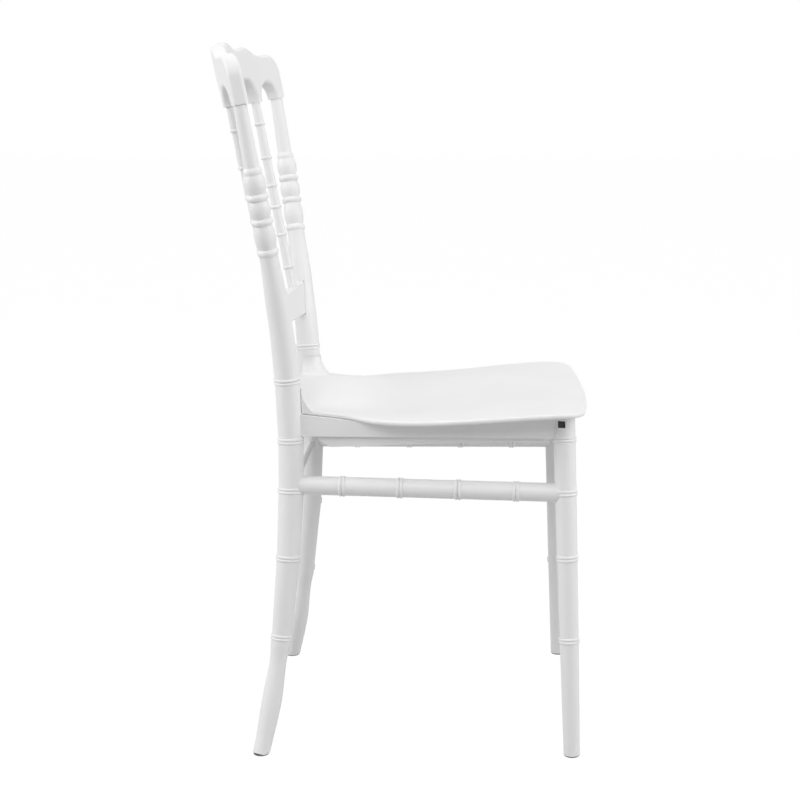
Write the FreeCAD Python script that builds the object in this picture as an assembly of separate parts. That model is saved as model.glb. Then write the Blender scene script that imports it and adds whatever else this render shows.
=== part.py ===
import FreeCAD, Part
import math
import os
from FreeCAD import Placement, Rotation, Vector

# Fits, in millimetres like every size here
joint_clearance = 0.25      # all round a spigot, tenon or shaft in its socket
seat_clearance = 0.3        # under the seat pan and round the posts that pass it
cut_margin = 1.0            # how far a cut runs past what it trims

axis_halvings = 50          # of the search for a height on a leg's axis
section_step = 12.0         # between the sections of a swelling length of leg

# Rear post, one turned member from the floor to the crest: its axis on the sitter's left
rear_foot_x = 190.0
rear_foot_y = 177.5
rear_calf_x = 165.0
rear_calf_y = 158.5
rear_calf_z = 100.0
rear_shin_x = 149.0
rear_shin_y = 141.5
rear_shin_z = 249.0
waist_x = 134.0
waist_y = 139.6
waist_z = 479.0
bead_x = 161.5
bead_y = 157.0
bead_z = 645.0
post_top_x = 187.0
post_top_y = 183.0
post_top_z = 824.0

# Front leg axis on the same side
front_foot_x = 195.0
front_foot_y = -222.6
front_shin_x = 170.5
front_shin_y = -215.7
front_shin_z = 252.0
front_top_x = 147.0
front_top_y = -211.0
front_top_z = 432.0

# Double rings turned on posts, legs and stretchers
post_calf_ring_z = 147.0
post_ring_heights = [250.0, 337.0, 401.0]
leg_ring_heights = [150.5, 255.5, 338.5, 406.5]
ring_bead_height = 4.0
ring_proud = 1.3
ring_groove = 0.6           # between the two beads, below the leg's surface

# Post diameters, from the floor up
post_foot_dia = 21.6
post_calf_dia = 25.6
post_calf_z = 66.0
post_neck_dia = 21.8
post_neck_z = 114.0
post_calf_ring_dia = 25.0
post_shin_ring_dia = 30.0
post_dia = 32.0
post_shoulder_dia = 29.2
post_shoulder_z = 572.0
post_throat_dia = 23.6
post_top_dia = 16.5
post_spigot_dia = 10.0
post_spigot_length = 16.0

# Beads of the post: round rings with a bulb between each pair
bead_ring_heights = [645.0, 683.0, 713.0, 745.0]
bead_ring_dias = [27.0, 27.6, 28.0, 23.4]
bead_ring_half = 4.4
bulb_dia = 27.0
bulb_end_dia = 22.4
bulb_swell = 0.58           # share of a bulb's height where it is thickest
post_stem_dia = 19.2

# Front leg diameters
leg_foot_dia = 21.0
leg_ring_dias = [24.4, 26.0, 27.4, 27.8]
leg_dia = 27.8

# Side stretcher, plugged into both legs
stretcher_dia = 24.0
stretcher_rear_z = 344.0
stretcher_front_z = 338.5
stretcher_ring_count = 4
stretcher_ring_pitch = 74.0
stretcher_first_ring = 66.0     # from the rear post's axis
stretcher_plug_depth = 6.5      # into the post behind and the leg in front
rear_stretcher_z = 338.0        # thin plain bar between the rear posts
rear_stretcher_dia = 10.0
rear_stretcher_depth = 9.0      # into each post

# Seat frame
rail_bottom_z = 408.0
rail_thickness = 14.0
rail_web_thickness = 8.0
rail_web_drop_rear = 15.0
rail_web_drop_front = 4.0
rail_web_start = 12.0           # clear of the post before the web slopes down
rail_web_slope = 22.0
cross_rail_bottom_z = 399.0
tenon_spacing = 0.8             # keeps two tenons in one leg apart

# Seat pan: a dished moulding, lowest behind its middle, with round front corners
seat_thickness = 6.0
seat_half_width = 194.5
seat_rear_half_width = 137.0
seat_front_y = -246.0
seat_rear_y = 146.0
seat_flare_y = 88.0             # where the sides start to widen
seat_hip_half_width = 164.0
seat_hip_y = 30.0
seat_thigh_half_width = 184.0
seat_thigh_y = -60.0
seat_front_radius = 1335.0
seat_corner_radius = 36.0
seat_blank_ratio = 1.2          # width of the dished blank over the pan's
seat_nose_z = 439.6
seat_front_z = 439.3
seat_front_crown_y = -206.0
seat_middle_z = 431.0
seat_middle_y = -85.0
seat_low_z = 428.5
seat_low_y = 20.0
seat_neck_z = 434.3
seat_neck_y = 90.0
seat_upsweep_z = 441.0
seat_dish_radius = 2500.0
seat_rim_radius = 2.5           # on the sides, corners and front
collar_height = 30.0            # of the fillet that runs up each post
collar_reach = 14.0
collar_lip = 1.1

# Back: crest, spindles and lower rail, bowed backwards in plan
back_bow_radius = 517.0
crest_lean = 10.2               # degrees from upright
crest_thickness = 18.0
crest_peak = 82.6               # heights above the crest's joint with the posts
crest_dip = 72.5
crest_dip_x = 54.0
crest_bump = 75.5
crest_bump_x = 98.0
crest_shoulder = 64.0
crest_shoulder_x = 134.0
crest_end_radius = 28.0
crest_end_drop = 2.0
crest_outer_arch = 24.5
crest_inner_arch = 34.0
crest_inner_haunch = 24.0
crest_haunch_top = 0.92         # shares of the inner arch's height and of the haunch's width
crest_haunch_bend = 0.6
crest_haunch_bend_in = 0.3
crest_boss_margin = 0.8
crest_edge_radius = 4.5
lower_rail_lean = 6.5
lower_rail_z = 526.0
lower_rail_height = 47.0
lower_rail_sag = 9.0
lower_rail_thickness = 14.0
lower_rail_edge_radius = 2.5

# Spindles, ringed like bamboo
spindle_top_x = 119.0
spindle_bottom_x = 103.0
spindle_dia = 11.4
spindle_flare_dia = 13.2
spindle_ring_dia = 15.4
spindle_ring_half = 2.2
spindle_ring_heights = [595.0, 640.0, 678.0, 707.0, 745.0, 791.0]
spindle_spigot_dia = 7.6
spindle_spigot_length = 11.0
spindle_plug_depth = 14.0

# Fittings
glide_height = 2.0
glide_dia = 20.4
glide_edge = 0.8
glide_stem_dia = 7.0
glide_stem_length = 14.0
window_width = 9.0
window_height = 8.6
window_top_z = 431.4
window_depth = 5.5
window_offset = 4.0             # behind the leg's axis
clip_recess = 1.2
clip_edge = 1.0
bolt_dia = 6.0
bolt_head_dia = 11.0
bolt_head_height = 3.2
bolt_head_recess = 1.0
bolt_reach = 46.0               # past the post's axis, into the side rail
bolt_rise = 11.0                # above the side rail's bottom
bolt_socket = 4.0               # across the flats of the hexagon key
bolt_socket_depth = 2.0
nut_dia = 10.0
nut_length = 11.0
nut_inset = 38.0                # from the post's axis to the barrel nut
screw_dia = 4.0
screw_head_dia = 8.0
screw_head_height = 2.4
screw_bite = 3.5                # into the seat pan
screw_spread = 78.0             # from the middle to each screw in the cross rails
screw_hole_draft = 0.2


def spline(points):
    curve = Part.BSplineCurve()
    curve.interpolate(points)
    return curve


rear_axis = spline([
    Vector(rear_foot_x, rear_foot_y, 0),
    Vector(rear_calf_x, rear_calf_y, rear_calf_z),
    Vector(rear_shin_x, rear_shin_y, rear_shin_z),
    Vector(waist_x, waist_y, waist_z),
    Vector(bead_x, bead_y, bead_z),
    Vector(post_top_x, post_top_y, post_top_z),
])
front_axis = spline([
    Vector(front_foot_x, front_foot_y, 0),
    Vector(front_shin_x, front_shin_y, front_shin_z),
    Vector(front_top_x, front_top_y, front_top_z),
])


def axis_at(curve, height):
    """Point and upward direction of a leg's axis at a height."""
    low = curve.FirstParameter
    high = curve.LastParameter
    for _ in range(axis_halvings):
        middle = (low + high) / 2
        if curve.value(middle).z < height:
            low = middle
        else:
            high = middle
    return curve.value(low), Vector(*curve.tangent(low)[0]).normalize()


def facing(point, direction):
    """Placement that carries the Z axis to a direction through a point."""
    return Placement(point, Rotation(Vector(0, 0, 1), direction))


def circle_wire(point, direction, diameter):
    wire = Part.Wire(Part.Circle(Vector(), Vector(0, 0, 1), diameter / 2).toShape())
    wire.Placement = facing(point, direction)
    return wire


def rod(point, direction, diameter, length):
    """Cylinder from a point along a direction."""
    return Part.makeCylinder(diameter / 2, length, point, direction)


def revolve(edges, point, direction):
    """Turned solid: a half outline in the XZ plane, spun about Z and stood on a point."""
    face = Part.Face(Part.Wire(edges))
    solid = face.revolve(Vector(), Vector(0, 0, 1), 360)
    solid.Placement = facing(point, direction)
    return solid


def outline(corners):
    """Straight edges through (radius, height) corners."""
    points = [Vector(r, 0, z) for r, z in corners]
    return [Part.LineSegment(a, b).toShape() for a, b in zip(points, points[1:])]


def bead_edge(low, crown, high):
    """Round bead through three (radius, height) points."""
    points = [Vector(r, 0, z) for r, z in (low, crown, high)]
    return Part.Arc(*points).toShape()


def double_ring_edges(radius, middle):
    """Two small beads with a groove between them, centred on a height."""
    crown = radius + ring_proud
    half = ring_bead_height / 2
    groove = (radius - ring_groove, middle)
    return [
        bead_edge((radius, middle - 2 * half), (crown, middle - half), groove),
        bead_edge(groove, (crown, middle + half), (radius, middle + 2 * half)),
    ]


def double_ring(curve, height, diameter):
    """Ring solid of a leg with the discs that the plain lengths join below and above it."""
    point, up = axis_at(curve, height)
    radius = diameter / 2
    reach = ring_bead_height
    edges = outline([(radius, reach), (0, reach), (0, -reach), (radius, -reach)])
    solid = revolve(edges + double_ring_edges(radius, 0), point, up)
    below = circle_wire(point - up * reach, up, diameter)
    above = circle_wire(point + up * reach, up, diameter)
    return solid, below, above


def outer_ring(curve, height, diameter):
    """Double ring on the outer half of a leg, whose inner half is plain."""
    solid, below, above = double_ring(curve, height, diameter)
    point, up = axis_at(curve, height)
    size = 2 * diameter
    outer = Part.makeBox(size, size, size, Vector(point.x, point.y - size / 2, point.z - size / 2))
    core = rod(point - up * ring_bead_height, up, diameter, 2 * ring_bead_height)
    return solid.common(outer).fuse(core), below, above


def bead_ring(curve, height, diameter, below_dia, above_dia):
    """Round ring between two bulbs, with its joining discs."""
    point, up = axis_at(curve, height)
    low = (below_dia / 2, -bead_ring_half)
    high = (above_dia / 2, bead_ring_half)
    edges = outline([high, (0, bead_ring_half), (0, -bead_ring_half), low])
    solid = revolve(edges + [bead_edge(low, (diameter / 2, 0), high)], point, up)
    below = circle_wire(point - up * bead_ring_half, up, below_dia)
    above = circle_wire(point + up * bead_ring_half, up, above_dia)
    return solid, below, above


def plain(curve, height, diameter):
    point, up = axis_at(curve, height)
    return circle_wire(point, up, diameter)


def swelling(curve, stations):
    """Sections of a leg whose diameter runs smoothly through (height, diameter) stations."""
    sections = []
    for (low, start), (high, end) in zip(stations, stations[1:]):
        count = round((high - low) / section_step)
        for index in range(count):
            share = index / count
            blend = (1 - math.cos(math.pi * share)) / 2
            sections.append(plain(curve, low + (high - low) * share, start + (end - start) * blend))
    return sections


def turned(sections):
    """Leg from plain sections and rings in order from the floor: lofts between rings, fused."""
    solids = []
    run = []
    for section in sections:
        if isinstance(section, tuple):
            ring, below, above = section
            run.append(below)
            solids.append(Part.makeLoft(run, True))
            solids.append(ring)
            run = [above]
        else:
            run.append(section)
    if len(run) > 1:
        solids.append(Part.makeLoft(run, True))
    return solids[0].multiFuse(solids[1:])


def halfspace_below(height):
    size = 4 * post_top_z
    return Part.makeBox(size, size, size, Vector(-size / 2, -size / 2, height - size))


def cut_each(shape, tools):
    for tool in tools:
        shape = shape.cut(tool)
    return shape


def mirrored(shape):
    return shape.mirror(Vector(), Vector(1, 0, 0))


def rear_post_blank():
    sections = swelling(rear_axis, [
        (0, post_foot_dia),
        (post_calf_z, post_calf_dia),
        (post_neck_z, post_neck_dia),
        (post_calf_ring_z - ring_bead_height, post_calf_ring_dia),
    ])
    sections.append(outer_ring(rear_axis, post_calf_ring_z, post_calf_ring_dia))
    ring_dias = [post_shin_ring_dia, post_dia, post_dia]
    sections += [outer_ring(rear_axis, *ring) for ring in zip(post_ring_heights, ring_dias)]
    sections.append(double_ring(rear_axis, waist_z, post_dia))
    sections += swelling(rear_axis, [
        (waist_z + section_step, post_dia),
        (post_shoulder_z, post_shoulder_dia),
        (bead_ring_heights[0] - bead_ring_half, post_throat_dia),
    ])
    last = len(bead_ring_heights) - 1
    for index, (height, dia) in enumerate(zip(bead_ring_heights, bead_ring_dias)):
        below_dia = bulb_end_dia if index > 0 else post_throat_dia
        above_dia = bulb_end_dia if index < last else post_stem_dia
        sections.append(bead_ring(rear_axis, height, dia, below_dia, above_dia))
        if index < last:
            rise = bulb_swell * (bead_ring_heights[index + 1] - height)
            sections.append(plain(rear_axis, height + rise, bulb_dia))
    sections.append(plain(rear_axis, post_top_z, post_top_dia))
    top, up = axis_at(rear_axis, post_top_z)
    spigot = rod(top, up, post_spigot_dia, post_spigot_length)
    return turned(sections).fuse(spigot).cut(halfspace_below(glide_height))


def front_leg_blank():
    sections = [plain(front_axis, 0, leg_foot_dia)]
    sections += [outer_ring(front_axis, *ring) for ring in zip(leg_ring_heights, leg_ring_dias)]
    sections.append(plain(front_axis, front_top_z, leg_dia))
    top, up = axis_at(front_axis, front_top_z)
    head = rod(top, up, leg_dia, seat_front_z - seat_low_z)
    return turned(sections).fuse(head).cut(halfspace_below(glide_height))


# Seat pan
seat_dish_axis_z = seat_low_z + seat_dish_radius


def seat_slab(top_offset, bottom_offset):
    """Dished slab between two heights above the pan's top curve, wider than the pan."""
    crown = [
        Vector(0, seat_rear_y, seat_upsweep_z),
        Vector(0, seat_neck_y, seat_neck_z),
        Vector(0, seat_low_y, seat_low_z),
        Vector(0, seat_middle_y, seat_middle_z),
        Vector(0, seat_front_crown_y, seat_front_z),
        Vector(0, seat_front_y - cut_margin, seat_nose_z),
    ]
    top = spline([point + Vector(0, 0, top_offset) for point in crown]).toShape()
    bottom = spline([point + Vector(0, 0, bottom_offset) for point in crown]).toShape()
    ends = [Part.LineSegment(crown[i] + Vector(0, 0, top_offset),
                             crown[i] + Vector(0, 0, bottom_offset)).toShape() for i in (0, -1)]
    face = Part.Face(Part.Wire([top, ends[1], bottom, ends[0]]))
    pivot = Vector(0, 0, seat_dish_axis_z)
    half_angle = math.degrees(math.asin(seat_blank_ratio * seat_half_width / seat_dish_radius))
    face.rotate(pivot, Vector(0, 1, 0), -half_angle)
    return face.revolve(pivot, Vector(0, 1, 0), 2 * half_angle)


def seat_plan():
    """Outline of the pan seen from above: narrow between the posts, flared, round in front."""
    rear = seat_rear_half_width
    middle = Vector(0, seat_front_y + seat_front_radius, 0)
    corner_x = seat_half_width - seat_corner_radius
    reach = seat_front_radius - seat_corner_radius
    corner = Vector(corner_x, middle.y - math.sqrt(reach ** 2 - corner_x ** 2), 0)
    side_end = corner + Vector(seat_corner_radius, 0, 0)
    outwards = (corner - middle).normalize()
    front_end = corner + outwards * seat_corner_radius
    bend = corner + (outwards + Vector(1, 0, 0)).normalize() * seat_corner_radius
    side = Part.BSplineCurve()
    forwards = Vector(0, -1, 0)
    side.interpolate(Points=[
        Vector(rear, seat_flare_y, 0),
        Vector(seat_hip_half_width, seat_hip_y, 0),
        Vector(seat_thigh_half_width, seat_thigh_y, 0),
        side_end,
    ], InitialTangent=forwards, FinalTangent=forwards)
    half = [
        Part.LineSegment(Vector(rear, seat_rear_y, 0), Vector(rear, seat_flare_y, 0)).toShape(),
        side.toShape(),
        Part.Arc(side_end, bend, front_end).toShape(),
    ]
    edges = half + [mirrored(edge) for edge in half]
    opposite = Vector(-front_end.x, front_end.y, 0)
    edges.append(Part.Arc(front_end, Vector(0, seat_front_y, 0), opposite).toShape())
    edges.append(Part.LineSegment(Vector(-rear, seat_rear_y, 0), Vector(rear, seat_rear_y, 0)).toShape())
    face = Part.Face(Part.Wire(Part.sortEdges(edges)[0]))
    return face.extrude(Vector(0, 0, 2 * seat_low_z))


def seat_space():
    """All that lies above the seat frame: what reaches under the pan is trimmed to it."""
    return seat_slab(seat_front_z - seat_low_z + collar_height, -seat_thickness - seat_clearance)


def post_sleeve():
    """Room for the post where it passes the seat."""
    foot, up = axis_at(rear_axis, seat_low_z)
    reach = waist_z - seat_low_z
    return rod(foot - up * reach, up, post_dia + 2 * seat_clearance, 2 * reach)


def seat_collar(pan):
    """Fillet that carries the pan's surface up the front of the post, upright where it ends."""
    foot, up = axis_at(rear_axis, seat_low_z)
    reach_y = foot.y - post_dia / 2 - collar_reach
    base = height_over(pan, seat_rear_half_width - collar_reach, reach_y) + seat_thickness / 2
    foot, up = axis_at(rear_axis, base)
    tip = post_dia / 2 + collar_lip
    rim = tip + collar_reach
    radius = (collar_reach ** 2 + collar_height ** 2) / (2 * collar_reach)
    half_turn = math.asin(collar_height / radius) / 2
    bend = (tip + radius * (1 - math.cos(half_turn)), collar_height - radius * math.sin(half_turn))
    low = -seat_thickness
    edges = outline([(tip, collar_height), (0, collar_height), (0, low), (rim, low), (rim, 0)])
    return revolve(edges + [bead_edge((rim, 0), bend, (tip, collar_height))], foot, up)


def height_over(shape, x, y):
    """Lowest height of a shape on the upright line through a place."""
    line = Part.makeLine(Vector(x, y, 0), Vector(x, y, 2 * seat_low_z))
    return line.common(shape).BoundBox.ZMin


def seat_pan():
    plan = seat_plan()
    pan = seat_slab(0, -seat_thickness).common(plan)
    rim = [edge for edge in pan.Edges
           if edge.BoundBox.YMax < seat_flare_y + cut_margin and edge.Length > 2 * seat_thickness]
    pan = pan.makeFillet(seat_rim_radius, rim)
    above = seat_slab(2 * collar_height, -seat_thickness / 2)
    collar = seat_collar(pan).common(plan).common(above)
    sleeve = post_sleeve()
    return cut_each(pan.fuse(collar).fuse(mirrored(collar)), [sleeve, mirrored(sleeve)])


def between_axes(rear_height, front_height):
    """Start on the rear axis, unit direction and distance to the front axis."""
    start, _ = axis_at(rear_axis, rear_height)
    end, _ = axis_at(front_axis, front_height)
    return start, (end - start).normalize(), start.distanceToPoint(end)


def side_stretcher():
    start, along, span = between_axes(stretcher_rear_z, stretcher_front_z)
    radius = stretcher_dia / 2
    first = post_dia / 2 - stretcher_plug_depth
    last = span - leg_dia / 2 + stretcher_plug_depth
    edges = []
    reached = (radius, first)
    for index in range(stretcher_ring_count):
        middle = stretcher_first_ring + index * stretcher_ring_pitch
        edges += outline([reached, (radius, middle - ring_bead_height)])
        edges += double_ring_edges(radius, middle)
        reached = (radius, middle + ring_bead_height)
    edges += outline([reached, (radius, last), (0, last), (0, first), (radius, first)])
    return revolve(edges, start, along)


def stretcher_socket():
    start, along, span = between_axes(stretcher_rear_z, stretcher_front_z)
    first = post_dia / 2 - stretcher_plug_depth - joint_clearance
    length = span - first - leg_dia / 2 + stretcher_plug_depth + joint_clearance
    return rod(start + along * first, along, stretcher_dia + 2 * joint_clearance, length)


def rear_stretcher(grow):
    """Thin plain bar whose ends are plugged into both posts."""
    place, _ = axis_at(rear_axis, rear_stretcher_z)
    half = place.x - post_dia / 2 + rear_stretcher_depth + grow
    start = Vector(half, place.y, place.z)
    return rod(start, Vector(-1, 0, 0), rear_stretcher_dia + 2 * grow, 2 * half)


rail_tenon_end = rail_thickness / 2 + tenon_spacing     # from the axis of the leg it enters


def rail_frame():
    """Placement with X along the side rail from the post, Y outwards and Z up, and its span."""
    start, _ = axis_at(rear_axis, rail_bottom_z)
    end, _ = axis_at(front_axis, rail_bottom_z)
    start.z = 0
    end.z = 0
    along = (end - start).normalize()
    turn = Rotation(along, Vector(0, 0, 1).cross(along), Vector(0, 0, 1), "XYZ")
    return Placement(start, turn), start.distanceToPoint(end)


def upright_board(corners, low_y, thickness):
    """Board from (x, z) corners, extruded along Y."""
    points = [Vector(x, low_y, z) for x, z in corners + corners[:1]]
    return Part.Face(Part.makePolygon(points)).extrude(Vector(0, thickness, 0))


def side_rail_board(grow):
    placement, span = rail_frame()
    first = rail_tenon_end - grow
    last = span - rail_tenon_end + grow
    low = rail_bottom_z - grow
    top = seat_front_z + seat_thickness
    corners = [(first, low), (last, low), (last, top), (first, top)]
    board = upright_board(corners, -rail_thickness / 2 - grow, rail_thickness + 2 * grow)
    board.Placement = placement
    return board


def side_rail():
    """Rail under the side of the seat, with a set-back web that is deeper towards the post."""
    placement, span = rail_frame()
    first = post_dia / 2 + rail_web_start
    last = span - leg_dia / 2 - rail_web_start
    web = upright_board([
        (first, rail_bottom_z + rail_web_drop_front),
        (first, rail_bottom_z),
        (first + rail_web_slope, rail_bottom_z - rail_web_drop_rear),
        (last, rail_bottom_z - rail_web_drop_front),
        (last, rail_bottom_z + rail_web_drop_front),
    ], -rail_thickness / 2, rail_web_thickness)
    web.Placement = placement
    return side_rail_board(0).fuse(web).cut(seat_space())


def cross_rail(axis, grow):
    """Rail from side to side, tenoned into a pair of legs."""
    place, _ = axis_at(axis, cross_rail_bottom_z)
    half = place.x - rail_tenon_end + grow
    low = cross_rail_bottom_z - grow
    top = seat_front_z + seat_thickness
    corners = [(-half, low), (half, low), (half, top), (-half, top)]
    return upright_board(corners, place.y - rail_thickness / 2 - grow, rail_thickness + 2 * grow)


class BowedBack:
    """Frame of a bowed, leaning back member, at its middle: X across, Y back, Z up the lean."""

    def __init__(self, axis_point, lean):
        drop = self.bow(axis_point.x)
        tilt = math.radians(lean)
        self.origin = Vector(0, axis_point.y + drop * math.cos(tilt), axis_point.z - drop * math.sin(tilt))
        self.placement = Placement(self.origin, Rotation(Vector(1, 0, 0), -lean))

    @staticmethod
    def bow(x):
        """How far the bow comes forward at a distance from the middle."""
        return back_bow_radius - math.sqrt(back_bow_radius ** 2 - x ** 2)

    def point(self, x, rise):
        return self.placement.multVec(Vector(x, -self.bow(x), rise))

    def rise(self, point):
        return self.placement.inverse().multVec(point).z

    def slab(self, edges, thickness):
        """Bowed plate of a thickness, cut to an outline drawn across the back."""
        face = Part.Face(Part.Wire(edges))
        deep = back_bow_radius / 2
        box = face.BoundBox
        face.translate(Vector(0, -deep, 0))
        prism = face.extrude(Vector(0, deep + thickness, 0))
        base = Vector(0, -back_bow_radius, box.ZMin - cut_margin)
        height = box.ZLength + 2 * cut_margin
        outer = Part.makeCylinder(back_bow_radius + thickness / 2, height, base)
        inner = Part.makeCylinder(back_bow_radius - thickness / 2, height, base)
        plate = outer.cut(inner).common(prism)
        plate.Placement = self.placement
        return plate


def segment(a, b):
    return Part.LineSegment(Vector(a[0], 0, a[1]), Vector(b[0], 0, b[1])).toShape()


def arc_through(a, b, c):
    return Part.Arc(*[Vector(x, 0, z) for x, z in (a, b, c)]).toShape()


def both_halves(make_edge):
    """An edge of the right half and its mirror image."""
    return [make_edge(1), make_edge(-1)]


crest = BowedBack(axis_at(rear_axis, post_top_z)[0], crest_lean)
lower_rail_middle = lower_rail_z + lower_rail_height / 2
lower_back = BowedBack(axis_at(rear_axis, lower_rail_middle)[0], lower_rail_lean)


def crest_outline():
    """Wavy top, round ends, and arches between the bosses over spindles and posts."""
    boss = post_top_dia / 2 + crest_boss_margin
    spindle_boss = spindle_dia / 2 + crest_boss_margin
    end = post_top_x + boss
    inner_end = post_top_x - boss
    outer_foot = spindle_top_x + spindle_boss
    inner_foot = spindle_top_x - spindle_boss
    arch_middle = (inner_end + outer_foot) / 2
    haunch = inner_foot - crest_inner_haunch
    haunch_top = crest_inner_arch * crest_haunch_top
    corner = crest_end_radius * math.sqrt(0.5)
    shoulder_end = crest_shoulder - crest_end_drop
    wave = [
        (end - crest_end_radius, shoulder_end),
        (crest_shoulder_x, crest_shoulder),
        (crest_bump_x, crest_bump),
        (crest_dip_x, crest_dip),
    ]
    points = [Vector(x, 0, z) for x, z in wave]
    points.append(Vector(0, 0, crest_peak))
    points += [Vector(-x, 0, z) for x, z in reversed(wave)]
    inwards = Vector(-1, 0, 0)
    top = Part.BSplineCurve()
    top.interpolate(Points=points, InitialTangent=inwards, FinalTangent=inwards)
    edges = [top.toShape()]
    edges += both_halves(lambda side: arc_through(
        (side * (end - crest_end_radius), shoulder_end),
        (side * (end - crest_end_radius + corner), shoulder_end - crest_end_radius + corner),
        (side * end, shoulder_end - crest_end_radius)))
    edges += both_halves(lambda side: segment((side * end, shoulder_end - crest_end_radius), (side * end, 0)))
    edges += both_halves(lambda side: segment((side * end, 0), (side * inner_end, 0)))
    edges += both_halves(lambda side: arc_through(
        (side * inner_end, 0), (side * arch_middle, crest_outer_arch), (side * outer_foot, 0)))
    edges += both_halves(lambda side: segment((side * outer_foot, 0), (side * inner_foot, 0)))
    bend = inner_foot - crest_inner_haunch * crest_haunch_bend_in
    bend_rise = crest_inner_arch * crest_haunch_bend
    edges += both_halves(lambda side: arc_through(
        (side * inner_foot, 0), (side * bend, bend_rise), (side * haunch, haunch_top)))
    edges.append(arc_through((haunch, haunch_top), (0, crest_inner_arch), (-haunch, haunch_top)))
    return Part.sortEdges(edges)[0]


def crest_rail():
    """Crest, rounded but for the flat ends of its bosses, with sockets for posts and spindles."""
    rail = crest.slab(crest_outline(), crest_thickness)
    rounded = [edge for edge in rail.Edges if crest.rise(edge.CenterOfMass) > cut_margin]
    rail = rail.makeFillet(crest_edge_radius, rounded)
    top, up = axis_at(rear_axis, post_top_z)
    foot, along, length = spindle_line()
    joint = foot + along * length
    cuts = [
        rod(top, -up, 2 * crest_thickness, post_top_dia),
        rod(top, up, post_spigot_dia + 2 * joint_clearance, post_spigot_length + joint_clearance),
        rod(joint, -along, 2 * spindle_ring_dia, spindle_ring_dia),
        rod(joint, along, spindle_spigot_dia + 2 * joint_clearance, spindle_spigot_length + joint_clearance),
    ]
    return cut_each(rail, cuts + [mirrored(cut) for cut in cuts])


def spindle_line():
    """Foot of a spindle in the lower rail, its direction, and its length to the crest."""
    top = crest.point(spindle_top_x, 0)
    shoulder = lower_back.point(spindle_bottom_x, lower_rail_height / 2)
    along = (top - shoulder).normalize()
    foot = shoulder - along * spindle_plug_depth
    return foot, along, foot.distanceToPoint(top)


def spindle():
    """Slim bamboo-ringed spindle: plugged into the lower rail, with a spigot for the crest."""
    foot, along, length = spindle_line()
    thin = spindle_dia / 2
    flare = spindle_flare_dia / 2
    edges = []
    reached = (thin, 0)
    for height in spindle_ring_heights:
        middle = (height - foot.z) / along.z
        low = (thin, middle - spindle_ring_half)
        high = (flare, middle + spindle_ring_half)
        edges += outline([reached, low])
        edges.append(bead_edge(low, (spindle_ring_dia / 2, middle), high))
        reached = high
    tip = length + spindle_spigot_length
    spigot = spindle_spigot_dia / 2
    edges += outline([reached, (thin, length), (spigot, length), (spigot, tip), (0, tip), (0, 0), (thin, 0)])
    return revolve(edges, foot, along)


def lower_rail_outline(grow):
    """Rail between the posts, its top sagging to the middle, its ends sloped like the posts."""
    low = -lower_rail_height / 2 - grow
    high = lower_rail_height / 2 + grow
    ends = []
    for rise in (low, high):
        height = lower_back.point(lower_rail_depth(lower_rail_middle), rise).z
        ends.append(lower_rail_depth(height) + grow)
    crown = arc_through((ends[1], high), (0, high - lower_rail_sag), (-ends[1], high))
    edges = [crown, segment((-ends[0], low), (ends[0], low))]
    edges += both_halves(lambda side: segment((side * ends[0], low), (side * ends[1], high)))
    return Part.sortEdges(edges)[0]


def lower_rail_depth(height):
    """Distance from the middle to the end of the rail's tenon in the post."""
    return axis_at(rear_axis, height)[0].x - rail_tenon_end


def lower_back_rail():
    rail = lower_back.slab(lower_rail_outline(0), lower_rail_thickness)
    rail = rail.makeFillet(lower_rail_edge_radius, rail.Edges)
    foot, along, _ = spindle_line()
    bore = spindle_dia + 2 * joint_clearance
    socket = rod(foot - along * joint_clearance, along, bore, 2 * spindle_plug_depth)
    return cut_each(rail, [socket, mirrored(socket)])


def glide(axis):
    """Foot glide: a disc on the floor with a stem up into the foot."""
    place, _ = axis_at(axis, glide_height)
    place.z = 0
    radius = glide_dia / 2
    stem = glide_stem_dia / 2
    tip = glide_height + glide_stem_length
    corners = [(0, 0), (radius - glide_edge, 0), (radius, glide_edge), (radius, glide_height)]
    corners += [(stem, glide_height), (stem, tip), (0, tip), (0, 0)]
    return revolve(outline(corners), place, Vector(0, 0, 1))


def glide_socket(axis):
    place, _ = axis_at(axis, glide_height)
    depth = glide_stem_length + joint_clearance
    return rod(place, Vector(0, 0, 1), glide_stem_dia + 2 * joint_clearance, depth)


def window_block(shrink, outer):
    """Block in the snap window on the outer side of the front leg, out to a distance from its axis."""
    place, _ = axis_at(front_axis, window_top_z - window_height / 2)
    inner = leg_dia / 2 - window_depth
    corner = Vector(place.x + inner, place.y + window_offset - window_width / 2 + shrink,
                    window_top_z - window_height + shrink)
    return Part.makeBox(outer - inner, window_width - 2 * shrink, window_height - 2 * shrink, corner)


def seat_clip():
    """Snap clip set a little below the leg's surface, with its outer edges eased."""
    block = window_block(joint_clearance, leg_dia / 2 - clip_recess)
    outer = max(block.Faces, key=lambda face: face.CenterOfMass.x)
    return block.makeChamfer(clip_edge, outer.Edges)


def bolt_line():
    """Point on the post's axis and direction of the bolt from behind it into the side rail."""
    placement, _ = rail_frame()
    height = rail_bottom_z + bolt_rise
    start = placement.multVec(Vector(0, 0, height))
    return start, placement.Rotation.multVec(Vector(1, 0, 0))


def bolt_head_seat():
    return post_dia / 2 - bolt_head_recess - bolt_head_height


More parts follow.
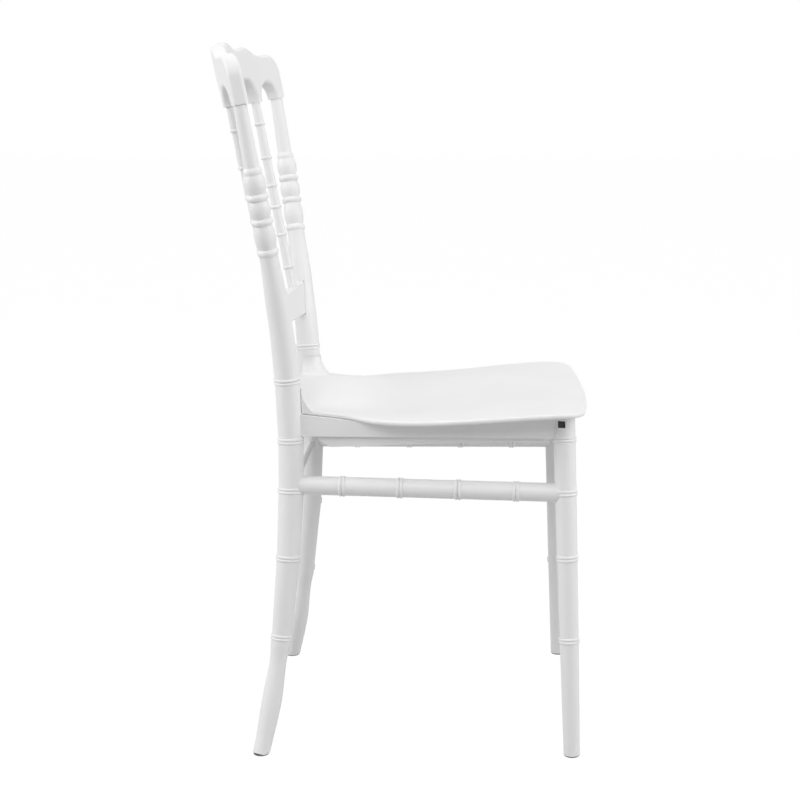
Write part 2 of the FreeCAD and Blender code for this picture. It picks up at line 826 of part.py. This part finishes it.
def rear_bolt():
    start, along = bolt_line()
    under_head = start - along * bolt_head_seat()
    shank = rod(under_head, along, bolt_dia, bolt_head_seat() + bolt_reach)
    head = rod(under_head, -along, bolt_head_dia, bolt_head_height)
    sides = 6
    key_radius = bolt_socket / 2 / math.cos(math.pi / sides)
    turns = [math.tau * index / sides for index in range(sides + 1)]
    corners = [Vector(key_radius * math.cos(turn), key_radius * math.sin(turn), 0) for turn in turns]
    key = Part.Face(Part.makePolygon(corners)).extrude(Vector(0, 0, bolt_socket_depth))
    key.Placement = facing(under_head - along * bolt_head_height, along)
    return shank.fuse(head).cut(key)


def bolt_hole():
    start, along = bolt_line()
    under_head = start - along * bolt_head_seat()
    reach = bolt_head_seat() + bolt_reach + joint_clearance
    hole = rod(under_head, along, bolt_dia + 2 * joint_clearance, reach)
    counterbore = rod(under_head, -along, bolt_head_dia + 2 * joint_clearance, post_dia)
    return hole.fuse(counterbore)


def nut_block(grow):
    """Barrel nut across the side rail, put in from the rail's inner face."""
    placement, _ = rail_frame()
    outward = placement.Rotation.multVec(Vector(0, 1, 0))
    start, along = bolt_line()
    inner = start + along * nut_inset - outward * rail_thickness / 2
    return rod(inner, outward, nut_dia + 2 * grow, nut_length + grow)


def seat_screw_places():
    places = []
    for axis in (rear_axis, front_axis):
        y = axis_at(axis, cross_rail_bottom_z)[0].y
        places += [Vector(side * screw_spread, y, cross_rail_bottom_z) for side in (-1, 1)]
    return places


def seat_screw(place, pan):
    tip = height_over(pan, place.x, place.y) + screw_bite
    up = Vector(0, 0, 1)
    return rod(place, up, screw_dia, tip - place.z).fuse(rod(place, -up, screw_head_dia, screw_head_height))


def seat_screw_hole(place, pan):
    """Pilot hole through the rail into the pan, drawn in a little towards its end."""
    tip = height_over(pan, place.x, place.y) + screw_bite
    mouth = screw_dia / 2 + joint_clearance
    return Part.makeCone(mouth, mouth - screw_hole_draft, tip - place.z + joint_clearance, place)


def build():
    """All nodes by name, in the frame the sizes are written in."""
    pan = seat_pan()
    screws = [seat_screw(place, pan) for place in seat_screw_places()]
    screw_holes = [seat_screw_hole(place, pan) for place in seat_screw_places()]
    rail_pocket = side_rail_board(joint_clearance)
    stretcher_pocket = stretcher_socket()
    rear_cuts = [
        stretcher_pocket,
        rear_stretcher(joint_clearance),
        rail_pocket,
        cross_rail(rear_axis, joint_clearance),
        lower_back.slab(lower_rail_outline(joint_clearance), lower_rail_thickness + 2 * joint_clearance),
        bolt_hole(),
        glide_socket(rear_axis),
    ]
    window = window_block(0, leg_dia)
    front_cuts = [
        stretcher_pocket,
        rail_pocket,
        cross_rail(front_axis, joint_clearance),
        window,
        glide_socket(front_axis),
        seat_space(),
    ]
    left = {
        "rear_post": cut_each(rear_post_blank(), rear_cuts),
        "front_leg": cut_each(front_leg_blank(), front_cuts),
        "side_stretcher": side_stretcher(),
        "side_rail": cut_each(side_rail(), [bolt_hole(), nut_block(joint_clearance), window]),
        "spindle": spindle(),
        "seat_clip": seat_clip(),
        "foot_glide_rear": glide(rear_axis),
        "foot_glide_front": glide(front_axis),
    }
    nodes = {
        "seat": cut_each(pan, screw_holes),
        "rear_rail": cut_each(cross_rail(rear_axis, 0), [seat_space()] + screw_holes),
        "front_rail": cut_each(cross_rail(front_axis, 0), [seat_space()] + screw_holes),
        "rear_stretcher": rear_stretcher(0),
        "crest_rail": crest_rail(),
        "lower_back_rail": lower_back_rail(),
        "seat_screws": Part.makeCompound(screws),
    }
    for name, shape in left.items():
        nodes[name + "_left"] = shape
        nodes[name + "_right"] = mirrored(shape)
    bolt = rear_bolt()
    nodes["rear_bolts"] = Part.makeCompound([bolt, mirrored(bolt)])
    nut = nut_block(0).cut(bolt_hole())
    nodes["barrel_nuts"] = Part.makeCompound([nut, mirrored(nut)])
    return nodes


nodes = build()
whole = Part.makeCompound(list(nodes.values())).optimalBoundingBox()
to_origin = Vector(-whole.Center.x, -whole.Center.y, -whole.ZMin)
os.makedirs("parts", exist_ok=True)
for name, shape in nodes.items():
    shape.translate(to_origin)
    shape.exportStep("parts/" + name + ".step")
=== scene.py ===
import math

import bmesh
import bpy
from mathutils import Matrix, Vector


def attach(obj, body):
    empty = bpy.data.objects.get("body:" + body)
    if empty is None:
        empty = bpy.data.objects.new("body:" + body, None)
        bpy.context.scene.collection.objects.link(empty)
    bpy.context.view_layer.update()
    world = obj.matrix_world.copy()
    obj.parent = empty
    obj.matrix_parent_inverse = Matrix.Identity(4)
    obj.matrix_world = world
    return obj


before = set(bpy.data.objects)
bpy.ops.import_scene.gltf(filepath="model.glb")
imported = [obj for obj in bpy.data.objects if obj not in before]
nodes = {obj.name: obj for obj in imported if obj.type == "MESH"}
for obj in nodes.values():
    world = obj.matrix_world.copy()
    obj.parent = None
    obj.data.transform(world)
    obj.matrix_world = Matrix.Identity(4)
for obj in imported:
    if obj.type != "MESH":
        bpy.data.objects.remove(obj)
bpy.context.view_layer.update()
scene = bpy.context.scene
white = (1.0, 1.0, 1.0, 1.0)


def linear(code):
    """Linear colour of an sRGB hex code, with alpha."""
    channels = [int(code[i:i + 2], 16) / 255 for i in (0, 2, 4)]
    straight = [c / 12.92 if c <= 0.04045 else ((c + 0.055) / 1.055) ** 2.4 for c in channels]
    return (*straight, 1.0)


def add_node(tree, kind, inputs, **settings):
    """One node with its settings, its inputs set or linked."""
    node = tree.nodes.new(kind)
    for name, value in settings.items():
        setattr(node, name, value)
    for socket, value in inputs.items():
        if isinstance(value, bpy.types.NodeSocket):
            tree.links.new(value, node.inputs[socket])
        else:
            node.inputs[socket].default_value = value
    return node


def per_mm(size):
    """Texture scale at which one cell measures this many millimetres."""
    return 1000.0 / size


def new_material(name):
    """Material with its tree, its main shader and the place on the piece."""
    material = bpy.data.materials.new(name)
    material.use_nodes = True
    tree = material.node_tree
    place = add_node(tree, "ShaderNodeTexCoord", {}).outputs["Object"]
    return material, tree, tree.nodes["Principled BSDF"], place


def clouds(tree, place, size, detail, roughness):
    """Cloudy pattern with cells of this many millimetres."""
    noise = add_node(tree, "ShaderNodeTexNoise", {
        "Vector": place, "Scale": per_mm(size), "Detail": detail, "Roughness": roughness})
    return noise.outputs["Fac"]


def colour_between(tree, shader, pattern, low, high):
    """Surface colour that a pattern takes from one hex code to another."""
    tint = add_node(tree, "ShaderNodeMix", {
        "Factor": pattern, "A": linear(low), "B": linear(high)}, data_type="RGBA")
    tree.links.new(tint.outputs["Result"], shader.inputs["Base Color"])


def dull_between(tree, shader, pattern, low, high):
    """Roughness that a pattern takes from one value to another."""
    dullness = add_node(tree, "ShaderNodeMapRange", {
        "Value": pattern, "To Min": low, "To Max": high})
    tree.links.new(dullness.outputs["Result"], shader.inputs["Roughness"])


def relief(tree, shader, pattern, strength, depth):
    """Fine relief from a pattern, this many millimetres deep."""
    bump = add_node(tree, "ShaderNodeBump", {
        "Height": pattern, "Strength": strength, "Distance": depth / 1000.0})
    tree.links.new(bump.outputs["Normal"], shader.inputs["Normal"])


# Moulded polypropylene: an even satin white, faint flow marks and the fine grain of an eroded mould
def moulded_resin():
    material, tree, shader, place = new_material("moulded_polypropylene")
    # Flow marks where the melt cooled, about 70 mm wide and three times as long
    stretched = add_node(tree, "ShaderNodeMapping", {"Vector": place, "Scale": (1.0, 1.0, 0.33)})
    flow = clouds(tree, stretched.outputs["Vector"], 70, detail=3.0, roughness=0.5)
    colour_between(tree, shader, flow, "E9E9E8", "EFEFF0")
    # Handling leaves the satin a little uneven, in patches of some 25 mm
    patches = clouds(tree, place, 25, detail=4.0, roughness=0.6)
    dull_between(tree, shader, patches, 0.38, 0.5)
    # Mould grain of 0.3 mm, drawn at 1.2 mm so that it shows
    grain = clouds(tree, place, 1.2, detail=2.0, roughness=0.5)
    relief(tree, shader, grain, strength=0.06, depth=0.2)
    shader.inputs["IOR"].default_value = 1.49
    return material


# Moulded nylon: dull and even, with the scuffs that floors leave on a glide and fingers on a clip
def moulded_nylon(name, light, shade):
    material, tree, shader, place = new_material(name)
    # Scuffs of about 4 mm, paler or darker than the moulding
    scuffs = clouds(tree, place, 4, detail=4.0, roughness=0.7)
    colour_between(tree, shader, scuffs, shade, light)
    dull_between(tree, shader, scuffs, 0.45, 0.65)
    relief(tree, shader, scuffs, strength=0.1, depth=0.1)
    shader.inputs["IOR"].default_value = 1.53
    return material


# Zinc-plated steel, rolled or turned: a bluish grey, mottled in the spangle of the plating
def zinc_plated_steel():
    material, tree, shader, place = new_material("zinc_plated_steel")
    # Spangle of about 2 mm
    spangle = add_node(tree, "ShaderNodeTexVoronoi", {"Vector": place, "Scale": per_mm(2)})
    colour_between(tree, shader, spangle.outputs["Distance"], "B9BDC2", "CDD0D3")
    # Turning marks of 0.15 mm, drawn at 0.4 mm so that they show
    marks = clouds(tree, place, 0.4, detail=2.0, roughness=0.5)
    dull_between(tree, shader, marks, 0.28, 0.45)
    relief(tree, shader, marks, strength=0.08, depth=0.1)
    shader.inputs["Metallic"].default_value = 1.0
    return material


resin = moulded_resin()
glide_nylon = moulded_nylon("moulded_grey_nylon", "8A8A88", "6C6C6A")
clip_nylon = moulded_nylon("moulded_black_nylon", "0C0C0D", "060607")
steel = zinc_plated_steel()
fasteners = ("rear_bolts", "barrel_nuts", "seat_screws")
for name, obj in nodes.items():
    finish = resin
    if name.startswith("foot_glide"):
        finish = glide_nylon
    elif name.startswith("seat_clip"):
        finish = clip_nylon
    elif name in fasteners:
        finish = steel
    obj.data.materials.clear()
    obj.data.materials.append(finish)


# Post cores: the moulding that closes each rear post round the end of its side rail
core_radius = 0.0158
core_sides = 96
core_foot = (0.13445, 0.13959, 0.397)
core_head = (0.13381, 0.14118, 0.445)


def post_core(name, side):
    foot = Vector((side * core_foot[0], *core_foot[1:]))
    head = Vector((side * core_head[0], *core_head[1:]))
    axis = head - foot
    turn = axis.to_track_quat("Z", "Y").to_matrix().to_4x4()
    form = bmesh.new()
    bmesh.ops.create_cone(
        form, cap_ends=True, segments=core_sides, radius1=core_radius, radius2=core_radius,
        depth=axis.length, matrix=Matrix.Translation((foot + head) / 2) @ turn)
    mesh = bpy.data.meshes.new(name)
    form.to_mesh(mesh)
    form.free()
    mesh.materials.append(resin)
    piece = bpy.data.objects.new(name, mesh)
    scene.collection.objects.link(piece)
    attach(piece, "root")


post_core("post_core_left", 1)
post_core("post_core_right", -1)


# Stage: a pale floor that runs to white, with soft boxes above, behind, before and beside the chair
floor_size = 30.0
floor_colour = "CACACA"
floor_glow = 1.04
floor_glow_share = 0.95     # the rest keeps a trace of the shadow
ambient_light = 0.2
backdrop_light = 1.0


def seen_directly(tree):
    """One for rays of the lens and of reflections, nought for rays that carry light."""
    rays = add_node(tree, "ShaderNodeLightPath", {}).outputs
    mirrored = add_node(tree, "ShaderNodeMath", {
        0: rays["Is Glossy Ray"], 1: rays["Is Transmission Ray"]}, operation="MAXIMUM")
    seen = add_node(tree, "ShaderNodeMath", {
        0: rays["Is Camera Ray"], 1: mirrored.outputs["Value"]}, operation="MAXIMUM")
    return seen.outputs["Value"]


def floor_paper():
    """White paper that keeps a trace of the shadow but looks white to the lens."""
    material = bpy.data.materials.new("white_paper")
    material.use_nodes = True
    tree = material.node_tree
    tree.nodes.clear()
    share = add_node(tree, "ShaderNodeMath", {
        0: seen_directly(tree), 1: floor_glow_share}, operation="MULTIPLY")
    paper = add_node(tree, "ShaderNodeBsdfDiffuse", {"Color": linear(floor_colour)})
    glow = add_node(tree, "ShaderNodeEmission", {"Color": white, "Strength": floor_glow})
    mix = add_node(tree, "ShaderNodeMixShader", {
        0: share.outputs["Value"], 1: paper.outputs["BSDF"], 2: glow.outputs["Emission"]})
    add_node(tree, "ShaderNodeOutputMaterial", {"Surface": mix.outputs["Shader"]})
    return material


bpy.ops.mesh.primitive_plane_add(size=floor_size, location=(0.0, 0.0, 0.0))
floor = bpy.context.object
floor.name = "floor"
floor.data.materials.append(floor_paper())

world = bpy.data.worlds.new("studio")
scene.world = world
world.use_nodes = True
sky = world.node_tree
sky.nodes.clear()
ambient = add_node(sky, "ShaderNodeBackground", {"Color": white, "Strength": ambient_light})
backdrop = add_node(sky, "ShaderNodeBackground", {"Color": white, "Strength": backdrop_light})
wall = add_node(sky, "ShaderNodeMixShader", {
    0: seen_directly(sky), 1: ambient.outputs["Background"], 2: backdrop.outputs["Background"]})
add_node(sky, "ShaderNodeOutputWorld", {"Surface": wall.outputs["Shader"]})

lamp_target = Vector((0.0, 0.0, 0.45))


def soft_box(name, place, size, power):
    lamp = bpy.data.lights.new(name, "AREA")
    lamp.shape = "RECTANGLE"
    lamp.size, lamp.size_y = size
    lamp.energy = power
    box = bpy.data.objects.new(name, lamp)
    box.location = place
    box.rotation_euler = (lamp_target - Vector(place)).to_track_quat("-Z", "Y").to_euler()
    scene.collection.objects.link(box)


soft_box("overhead_box", place=(0.0, 0.0, 2.6), size=(2.4, 2.4), power=19.0)
soft_box("rear_box", place=(-0.6, 2.4, 1.5), size=(1.6, 1.6), power=36.0)
soft_box("front_box", place=(-0.6, -2.4, 1.5), size=(1.6, 1.6), power=34.0)
soft_box("side_box", place=(-2.4, 0.0, 2.3), size=(2.0, 1.4), power=25.0)

# Camera at the photograph's place: level with the crest, a little in front of the chair's middle
camera_place = (-2.252, -0.0991, 0.869)
camera_tilt = 78.9
camera_heading = -90.0
lens_data = bpy.data.cameras.new("lens")
lens_data.sensor_width = 36.0
lens_data.lens = 76.5
lens_data.shift_x = -0.0975
camera = bpy.data.objects.new("camera", lens_data)
camera.location = camera_place
camera.rotation_euler = (math.radians(camera_tilt), 0.0, math.radians(camera_heading))
scene.collection.objects.link(camera)
scene.camera = camera

scene.view_settings.view_transform = "Standard"
